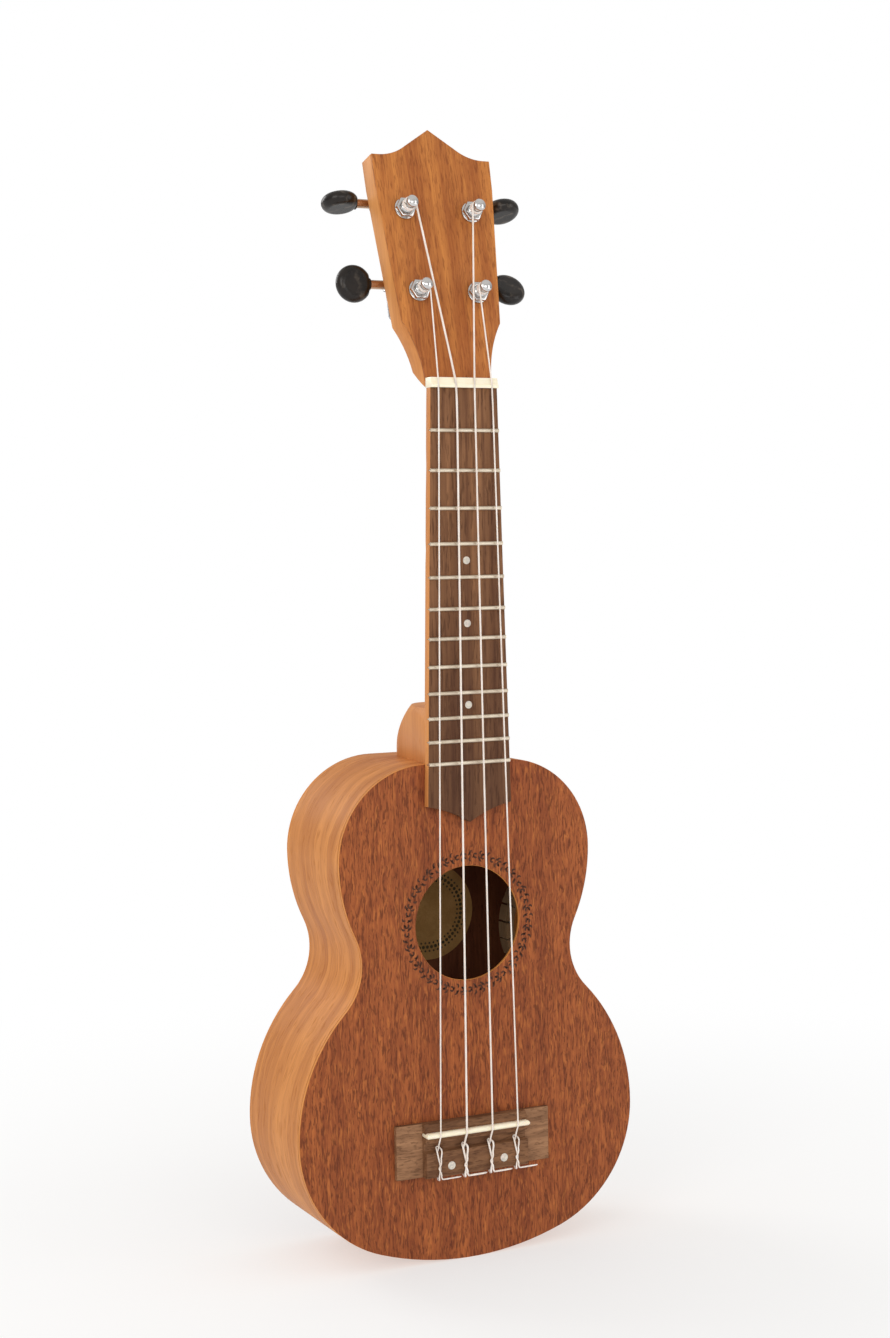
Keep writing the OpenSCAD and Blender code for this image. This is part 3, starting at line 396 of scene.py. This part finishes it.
# Darker wood for faces that look into the body: painted shade for the dim inside seen through the soundhole
PAINTED_SHADE_INSIDE_WOOD = wood(
    "inside_wood", (0.110, 0.030, 0.012), (0.220, 0.072, 0.028), (0.070, 0.018, 0.008),
    fibre=700, pores=1100, pore_length=200, rough=0.7, shift=3.0,
)
ROSETTE_PRINT = paper("rosette_ink", (0.050, 0.019, 0.011), (0.090, 0.036, 0.020), 0.7)
LABEL_PRINT = paper("label_ink", (0.07, 0.050, 0.020), (0.11, 0.080, 0.032), 0.8)
SLOT_OF = {part["node"]: part["material_slot"] for part in frame["record"]["subparts"]}
BODY_OF = {name: body for body, names in frame["record"]["behaviour"]["bodies"].items() for name in names}


def paint(piece, slot):
    """The piece takes the material of one of the record's slots."""
    piece.data.materials.clear()
    piece.data.materials.append(MATERIALS[slot])


for name, node in nodes.items():
    paint(node, SLOT_OF[name])

# ---------- Pieces with eased edges ----------

WELD = 0.001 * MM
BEVEL_ANGLE = math.radians(32)
SMOOTH_ANGLE = math.radians(40)
BLOCK_MARGIN = 2.5 * MM


def clean_copy(name, flat_degrees=0.4):
    """A copy of a CAD node's mesh, welded, with its flat faces made whole."""
    mesh = nodes[name].data.copy()
    mesh.name = name + "_eased"
    work = bmesh.new()
    work.from_mesh(mesh)
    bmesh.ops.remove_doubles(work, verts=work.verts, dist=WELD)
    bmesh.ops.dissolve_limit(
        work, angle_limit=math.radians(flat_degrees), verts=work.verts, edges=work.edges, delimit=set()
    )
    work.to_mesh(mesh)
    work.free()
    if "custom_normal" in mesh.attributes:
        mesh.attributes.remove(mesh.attributes["custom_normal"])
    piece = bpy.data.objects.new(name + "_eased", mesh)
    bpy.context.scene.collection.objects.link(piece)
    return piece


def apply_modifiers(piece):
    """The piece's mesh becomes what its modifiers make of it."""
    bpy.context.view_layer.update()
    ready = piece.evaluated_get(bpy.context.evaluated_depsgraph_get())
    mesh = bpy.data.meshes.new_from_object(ready)
    piece.modifiers.clear()
    piece.data = mesh


def stand_for(piece, name):
    """The piece rides and looks in place of a CAD node."""
    paint(piece, SLOT_OF[name])
    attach(piece, BODY_OF[name])
    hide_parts(name)


def eased(name, width, segments=2):
    """Stands for a CAD node with its sharp edges rounded by a small width."""
    piece = clean_copy(name)
    bevel = piece.modifiers.new("ease", "BEVEL")
    bevel.width = width
    bevel.segments = segments
    bevel.limit_method = "ANGLE"
    bevel.angle_limit = BEVEL_ANGLE
    bevel.use_clamp_overlap = True
    bevel.harden_normals = False
    apply_modifiers(piece)
    piece.data.shade_smooth()
    piece.data.set_sharp_from_angle(angle=SMOOTH_ANGLE)
    stand_for(piece, name)
    return piece


def faces_take(piece, material, chosen):
    """The faces of a piece that pass a test take another material."""
    piece.data.materials.append(material)
    for polygon in piece.data.polygons:
        if chosen(polygon):
            polygon.material_index = len(piece.data.materials) - 1


# Width of the rounding on each piece's edges, in millimetres
EASE = {
    "fretboard": 0.35, "bridge": 0.3, "saddle": 0.25, "nut": 0.3, "neck": 0.5, "headstock_veneer": 0.25,
    "tuner_covers": 0.35, "tuner_bushings": 0.2, "tuner_washers": 0.2, "tuner_screws": 0.15,
    "bridge_dots": 0.15,
}
eased_pieces = {name: eased(name, width * MM) for name, width in EASE.items()}
for number in TUNERS:
    eased(f"tuner_housing_{number}", 0.3 * MM)
    eased(f"post_{number}", 0.15 * MM)
for name, inside in (("soundboard", 1), ("back", -1)):
    plate = eased(name, 0.9 * MM, 4)
    faces_take(plate, MATERIALS["side_wood"], lambda polygon: abs(polygon.normal.y) < 0.6)
    # Faces that look into the body take the darker wood, painted shade
    faces_take(plate, PAINTED_SHADE_INSIDE_WOOD, lambda polygon, inside=inside: polygon.normal.y * inside > 0.6)
# The fretboard's side faces take the paler neck wood: a painted highlight for the light its edges catch
faces_take(eased_pieces["fretboard"], MATERIALS["neck_wood"], lambda polygon: abs(polygon.normal.x) > 0.7)
BLOCK_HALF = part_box("saddle")[1].x + BLOCK_MARGIN
faces_take(eased_pieces["bridge"], BLOCK_WOOD, lambda polygon: abs(polygon.center.x) < BLOCK_HALF)

# ---------- Strings ----------

# How much a string swells before its flats are rounded, which thins it by about as much
SWELL = 0.045 * MM


def soft_cord(name):
    """Stands for a CAD string, with its eight flats rounded."""
    piece = clean_copy(name, 0.01)
    swell = piece.modifiers.new("swell", "DISPLACE")
    swell.strength = SWELL
    swell.mid_level = 0.0
    smooth = piece.modifiers.new("smooth", "SUBSURF")
    smooth.levels = smooth.render_levels = 2
    apply_modifiers(piece)
    piece.data.shade_smooth()
    stand_for(piece, name)


for letter in "gcea":
    soft_cord(f"string_{letter}")
for number in TUNERS:
    soft_cord(f"string_winding_{number}")

# ---------- Rosette and label print ----------

PRINT_LIFT = 0.01 * MM
PRINT_T = 0.02 * MM
ROSETTE_R = 31.7 * MM
ROSETTE_CLUSTERS = 21
# Place round the ring and out from it, length, heading and bend of each leaf of a cluster
LEAVES = [
    (-4.1, 0.3, 2.9, 0.6, 2.4), (-3.8, -0.8, 2.6, -0.7, -2.4), (-2.1, 0.6, 2.7, 0.9, -2.6),
    (-1.9, -0.9, 2.7, -0.8, 2.5), (0.0, 0.4, 2.8, 0.7, 2.6), (0.2, -0.8, 2.6, -0.5, -2.7),
    (1.9, 0.6, 2.6, 0.8, -2.4), (2.0, -0.7, 2.6, -0.9, 2.3), (-3.0, 0.0, 1.9, 1.6, 1.0),
    (-0.9, 0.0, 1.9, -1.6, -1.0), (1.1, 0.0, 1.9, 1.5, 1.0), (3.1, 0.0, 1.7, 0.0, 1.4),
]
# Distance from the label's edge, number of dots and radius of a dot, for each ring of dots
LABEL_RINGS = ((4.4, 70, 0.55), (6.4, 66, 0.85), (8.4, 60, 0.55))


def flat_piece(name, outlines, depth, material):
    """Thin print drawn as [x, z] outlines, lying on a plane at a depth."""
    work = bmesh.new()
    for outline in outlines:
        corners = [work.verts.new((x, depth, z)) for x, z in outline]
        face = work.faces.new(corners)
        side = bmesh.ops.extrude_face_region(work, geom=[face])
        moved = [item for item in side["geom"] if isinstance(item, bmesh.types.BMVert)]
        bmesh.ops.translate(work, verts=moved, vec=(0, -PRINT_T, 0))
    bmesh.ops.recalc_face_normals(work, faces=work.faces)
    mesh = bpy.data.meshes.new(name)
    work.to_mesh(mesh)
    work.free()
    mesh.materials.append(material)
    piece = bpy.data.objects.new(name, mesh)
    bpy.context.scene.collection.objects.link(piece)
    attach(piece, BODY)
    return piece


def stroke(points, widths):
    """Outline of a brush stroke along points, with its half width at each."""
    left, right = [], []
    for index, (x, z) in enumerate(points):
        x0, z0 = points[max(index - 1, 0)]
        x1, z1 = points[min(index + 1, len(points) - 1)]
        length = math.hypot(x1 - x0, z1 - z0) or 1.0
        nx, nz = -(z1 - z0) / length, (x1 - x0) / length
        left.append((x + nx * widths[index], z + nz * widths[index]))
        right.append((x - nx * widths[index], z - nz * widths[index]))
    return left + right[::-1]


def curl(radius, angle, size, heading, bend):
    """Points and half widths of a leaf that curls, placed on the ring at a radius and an angle."""
    points, widths = [], []
    along, across, direction = 0.0, 0.0, heading
    steps = 9
    for step in range(steps + 1):
        share = step / steps
        points.append((along, across))
        widths.append(size * (0.03 + 0.155 * math.sin(math.pi * share ** 0.8)))
        direction += bend / steps
        along += size / steps * math.cos(direction)
        across += size / steps * math.sin(direction)
    ring = []
    for u, v in points:
        turn = angle + u / radius
        ring.append(((radius + v) * math.cos(turn), (radius + v) * math.sin(turn)))
    return ring, widths


def rosette_outlines(centre_z, radius, clusters):
    """A ring of leafy clusters round the soundhole."""
    shapes = []
    for cluster in range(clusters):
        centre = 2 * math.pi * (cluster + 0.5) / clusters
        flip = 1 if cluster % 2 else -1
        for u, v, size, heading, bend in LEAVES:
            ring, widths = curl(
                radius + flip * v * MM, centre + u * MM / radius, size * MM, flip * heading, flip * bend
            )
            shapes.append(stroke([(x, z + centre_z) for x, z in ring], widths))
    return shapes


hole_z = next(m for m in frame["record"]["mounts"] if m["name"] == "soundhole")["pos_m"][2]
leaves = rosette_outlines(hole_z, ROSETTE_R, ROSETTE_CLUSTERS)
flat_piece("rosette", leaves, -PRINT_LIFT, ROSETTE_PRINT)


def disc(x, z, radius, sides=14):
    """Outline of a round dot."""
    return [
        (x + radius * math.cos(2 * math.pi * k / sides), z + radius * math.sin(2 * math.pi * k / sides))
        for k in range(sides)
    ]


def oval_point(share, low, high, inset):
    """A point on the label's outline, drawn inset, at a share of the way round."""
    half_h = (high[2] - low[2]) / 2
    reach = (high[0] - low[0]) / 2 - half_h
    middle_z = (high[2] + low[2]) / 2
    radius = half_h - inset
    straight, bend = 2 * reach, math.pi * radius
    place = share * 2 * (straight + bend)
    if place < straight:
        return place - reach, middle_z + radius
    if place < straight + bend:
        angle = math.pi / 2 - (place - straight) / radius
        return reach + radius * math.cos(angle), middle_z + radius * math.sin(angle)
    if place < 2 * straight + bend:
        return reach - (place - straight - bend), middle_z - radius
    angle = -math.pi / 2 - (place - 2 * straight - bend) / radius
    return -reach + radius * math.cos(angle), middle_z + radius * math.sin(angle)


def label_outlines():
    """Three rings of dots inside the label's edge."""
    low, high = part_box("label")
    shapes = []
    for row, (inset, count, size) in enumerate(LABEL_RINGS):
        for k in range(count):
            x, z = oval_point((k + 0.5 * (row % 2)) / count, low, high, inset * MM)
            shapes.append(disc(x, z, size * MM))
    return shapes


flat_piece("label_border", label_outlines(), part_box("label")[0].y - PRINT_LIFT, LABEL_PRINT)

# ---------- Studio ----------

FLOOR_Z = cad_bounds[0][2]
FLOOR_HALF = 6.0
FLOOR_Y = 0.03
WHITE = (1, 1, 1, 1)
MIDDLE = (0, 0.02, -0.17)
CAMERA_PLACE = Vector((-0.4510, -0.9087, -0.0706))
CAMERA_AIM = Vector((0.4341, 0.8972, -0.0815))
CAMERA_ROLL = math.radians(0.911)


def floor_material():
    """Pale floor that takes a soft shadow near the object and fades to plain white around it."""
    material, tree = new_material("floor_pale")
    place = tree.add("ShaderNodeTexCoord").outputs["Object"]
    away = tree.add("ShaderNodeVectorMath", {0: place}, operation="LENGTH").outputs["Value"]
    grain = tree.noise(tree.stretch(place, (40, 40, 40)), 2.0)
    matte = tree.add(
        "ShaderNodeBsdfDiffuse",
        {"Color": tree.mix(tree.math("MULTIPLY", grain, 0.1), (0.93, 0.93, 0.93), (0.86, 0.86, 0.86))},
    )
    plain = tree.add("ShaderNodeEmission", values={"Color": WHITE, "Strength": 1.0})
    share = tree.math("MULTIPLY_ADD", tree.ramp(away, 0.10, 0.60), 0.5, 0.5)
    blend = tree.add("ShaderNodeMixShader", {0: share, 1: matte.outputs[0], 2: plain.outputs[0]})
    tree.tree.links.new(blend.outputs[0], tree.output.inputs["Surface"])
    return material


def floor():
    """A level floor at the object's lowest point."""
    work = bmesh.new()
    bmesh.ops.create_grid(work, x_segments=24, y_segments=24, size=FLOOR_HALF)
    mesh = bpy.data.meshes.new("studio_floor")
    work.to_mesh(mesh)
    work.free()
    mesh.materials.append(floor_material())
    piece = bpy.data.objects.new("studio_floor", mesh)
    piece.location = (0, FLOOR_Y, FLOOR_Z)
    bpy.context.scene.collection.objects.link(piece)


def studio_world():
    """White behind the object, and a softer, uneven sky that lights it."""
    world = bpy.data.worlds.new("studio")
    bpy.context.scene.world = world
    world.use_nodes = True
    tree = world.node_tree
    tree.nodes.clear()
    output = tree.nodes.new("ShaderNodeOutputWorld")
    seen = tree.nodes.new("ShaderNodeBackground")
    seen.inputs["Color"].default_value = WHITE
    light = tree.nodes.new("ShaderNodeBackground")
    coordinates = tree.nodes.new("ShaderNodeTexCoord")
    split = tree.nodes.new("ShaderNodeSeparateXYZ")
    ramp = tree.nodes.new("ShaderNodeValToRGB")
    ramp.color_ramp.elements[0].position = 0.35
    ramp.color_ramp.elements[0].color = (0.20, 0.20, 0.21, 1)
    ramp.color_ramp.elements[1].position = 0.85
    ramp.color_ramp.elements[1].color = (0.78, 0.77, 0.75, 1)
    lift = tree.nodes.new("ShaderNodeMath")
    lift.operation = "MULTIPLY_ADD"
    lift.inputs[1].default_value = 0.5
    lift.inputs[2].default_value = 0.5
    path = tree.nodes.new("ShaderNodeLightPath")
    mix = tree.nodes.new("ShaderNodeMixShader")
    tree.links.new(coordinates.outputs["Generated"], split.inputs[0])
    tree.links.new(split.outputs["Z"], lift.inputs[0])
    tree.links.new(lift.outputs[0], ramp.inputs[0])
    tree.links.new(ramp.outputs[0], light.inputs["Color"])
    tree.links.new(path.outputs["Is Camera Ray"], mix.inputs[0])
    tree.links.new(light.outputs[0], mix.inputs[1])
    tree.links.new(seen.outputs[0], mix.inputs[2])
    tree.links.new(mix.outputs[0], output.inputs[0])


def soft_light(name, place, size, power, colour=(1, 1, 1)):
    """A rectangular lamp that faces the object's middle."""
    data = bpy.data.lights.new(name, "AREA")
    data.shape = "RECTANGLE"
    data.size, data.size_y = size
    data.energy = power
    data.color = colour
    lamp = bpy.data.objects.new(name, data)
    lamp.location = place
    lamp.rotation_euler = (Vector(MIDDLE) - Vector(place)).to_track_quat("-Z", "Y").to_euler()
    bpy.context.scene.collection.objects.link(lamp)


def camera():
    """The photograph's view, from the left of the strings and above the body's middle."""
    forward = CAMERA_AIM.normalized()
    right = forward.cross(Vector((0, 0, 1))).normalized()
    up = right.cross(forward)
    across = right * math.cos(CAMERA_ROLL) - up * math.sin(CAMERA_ROLL)
    upward = right * math.sin(CAMERA_ROLL) + up * math.cos(CAMERA_ROLL)
    data = bpy.data.cameras.new("camera")
    data.sensor_width = 36.0
    data.lens = 58.84
    data.shift_x = 0.0014
    data.shift_y = 0.0393
    data.clip_start = 0.01
    view = bpy.data.objects.new("camera", data)
    turn = Matrix((across, upward, -forward)).transposed().to_4x4()
    view.matrix_world = Matrix.Translation(CAMERA_PLACE) @ turn
    bpy.context.scene.collection.objects.link(view)
    bpy.context.scene.camera = view


floor()
studio_world()
soft_light("key", (-2.3, -1.9, 0.9), (1.5, 1.5), 23.0, (1.0, 0.98, 0.95))
soft_light("fill", (1.2, -1.2, 0.1), (0.8, 1.2), 4.5)
soft_light("front", (-0.2, -1.6, 0.3), (1.0, 0.6), 4.0)
soft_light("rear", (-0.8, 1.3, 0.6), (0.8, 0.8), 7.0)
camera()
bpy.context.scene.view_settings.view_transform = "Standard"
